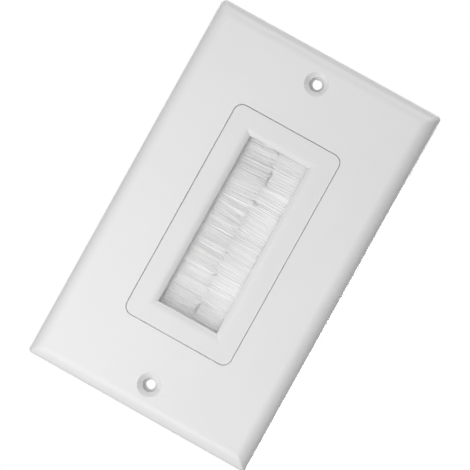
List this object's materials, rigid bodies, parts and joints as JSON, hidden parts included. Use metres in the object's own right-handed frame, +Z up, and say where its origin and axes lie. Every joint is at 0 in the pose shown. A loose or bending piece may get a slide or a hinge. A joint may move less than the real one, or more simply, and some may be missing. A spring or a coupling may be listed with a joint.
{
  "type": "brush cable entry wall plate",
  "caption": "Single-gang wall plate with a window insert whose flared opening is closed by facing rows of bristles for passing cables through a wall.",
  "frame": {"origin": "middle of the plate's back rim, on the wall plane", "axes": "+Z up along the plate's long side, +Y out of the back into the wall, -Y towards the room, +X to the right seen from the front"},
  "size_m": [0.0704, 0.0117, 0.1142],
  "materials": {
    "plate_plastic": "smooth white, soft gloss",
    "insert_plastic": "smooth white, soft gloss",
    "retainer_plastic": "plain moulded white",
    "channel_steel": "bright zinc plate",
    "wire_steel": "drawn wire",
    "bristle_nylon": "fine white filaments",
    "screw_steel": "bright zinc plate"
  },
  "bodies": {
    "root": {"wall_plate": "plate_plastic", "insert_frame": "insert_plastic", "brush_retainer": "retainer_plastic", "left_brush_channel": "channel_steel", "right_brush_channel": "channel_steel", "left_core_wire": "wire_steel", "right_core_wire": "wire_steel", "left_bristles": "bristle_nylon", "right_bristles": "bristle_nylon", "lower_left_retainer_screw": "screw_steel", "lower_right_retainer_screw": "screw_steel", "upper_left_retainer_screw": "screw_steel", "upper_right_retainer_screw": "screw_steel"}
  },
  "joints": []
}
